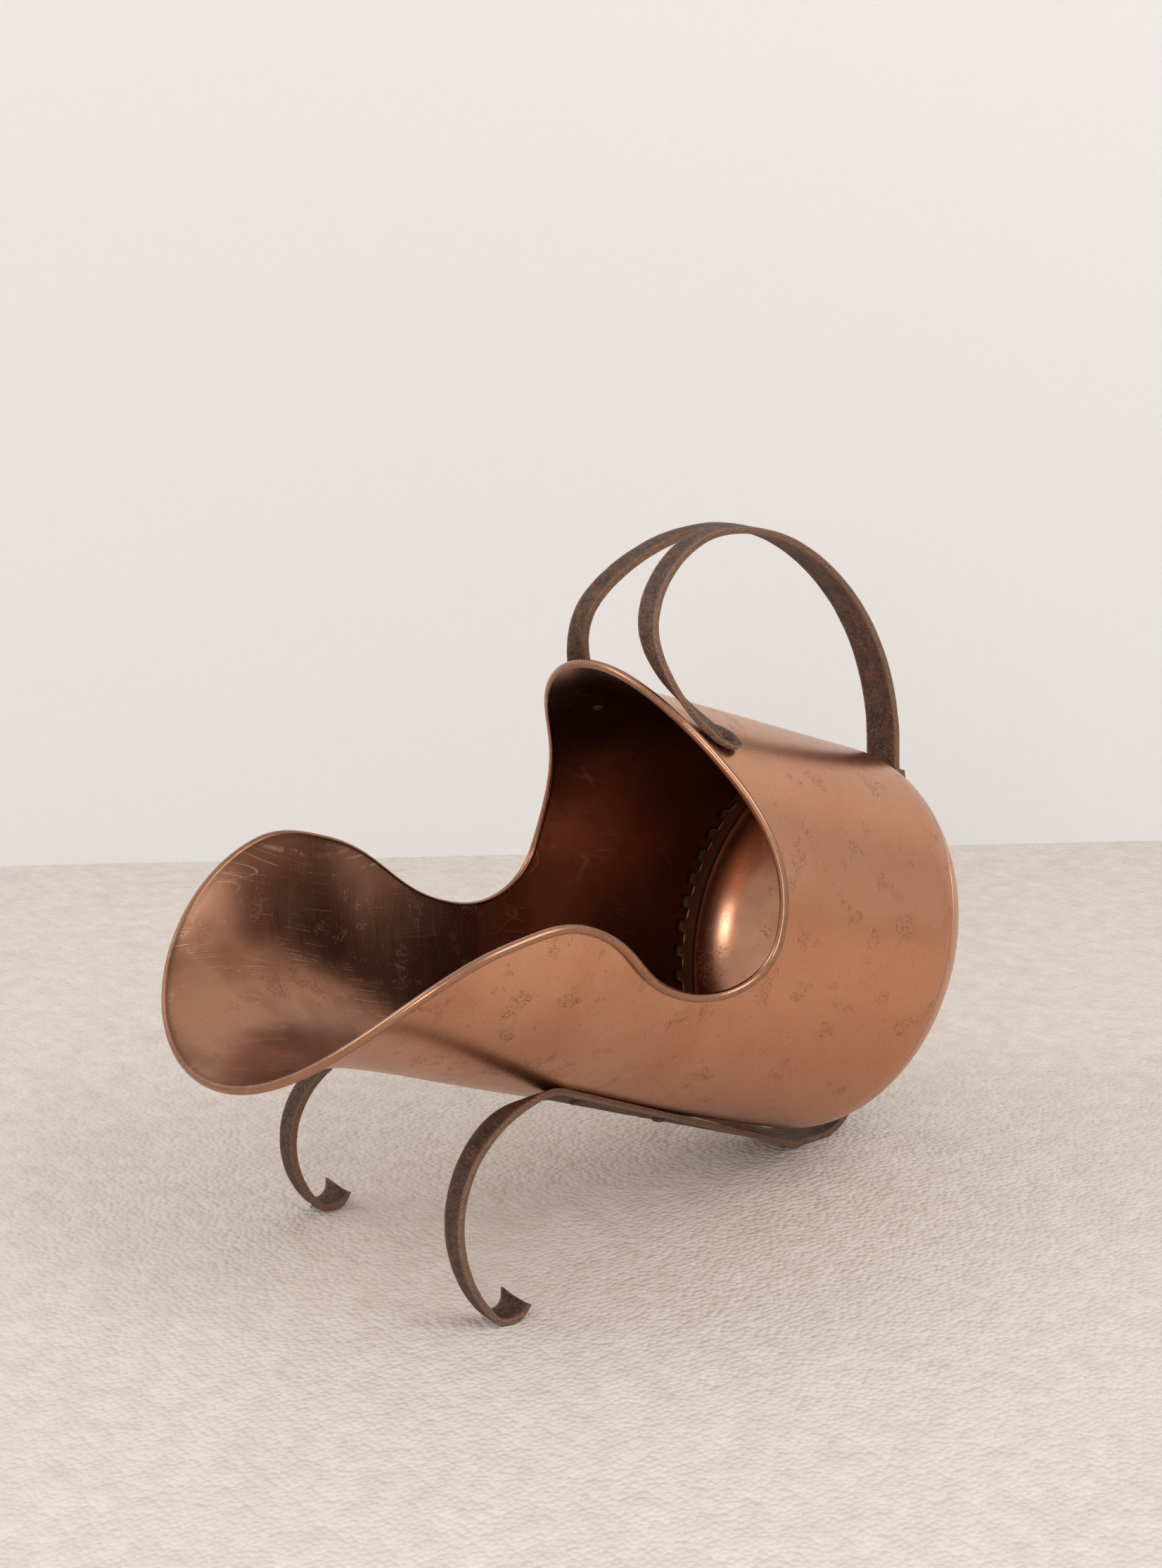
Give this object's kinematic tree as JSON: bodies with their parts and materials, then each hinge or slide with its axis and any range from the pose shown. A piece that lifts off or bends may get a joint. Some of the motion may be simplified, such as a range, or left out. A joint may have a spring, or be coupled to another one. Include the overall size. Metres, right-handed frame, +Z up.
{
  "type": "log bucket",
  "caption": "Tilted copper log bucket with a scooped, wired mouth and a domed back, carried by forked wrought iron straps that form a bow handle and scrolled legs.",
  "frame": {"origin": "the middle of the heel's underside, where the cradle bar stands on the floor under the centre of the circle where the dome springs", "axes": "+X across the bucket, -Y towards the mouth, +Y towards the dome, +Z up from the floor"},
  "size_m": [0.3436, 0.6376, 0.512],
  "materials": {
    "copper_sheet": "brushed and lightly tarnished copper sheet",
    "copper_dome": "raised copper, brown patina inside",
    "wire_iron": "drawn iron wire hidden in the rolled edge",
    "forged_iron": "forged, rusted brown with dark scale",
    "cradle_iron": "forged, rusted brown with dark scale",
    "rivet_iron": "hammered iron rivet"
  },
  "bodies": {
    "root": {"barrel_shell": "copper_sheet", "rim_wire": "wire_iron", "dome_end": "copper_dome", "handle": "forged_iron", "cradle": "cradle_iron", "handle_rivet_right": "rivet_iron", "handle_rivet_left": "rivet_iron", "cradle_rivet_front_right": "rivet_iron", "cradle_rivet_front_left": "rivet_iron", "cradle_rivet_rear_right": "rivet_iron", "cradle_rivet_rear_left": "rivet_iron", "lap_rivet_upper": "rivet_iron", "lap_rivet_lower": "rivet_iron"}
  },
  "joints": []
}
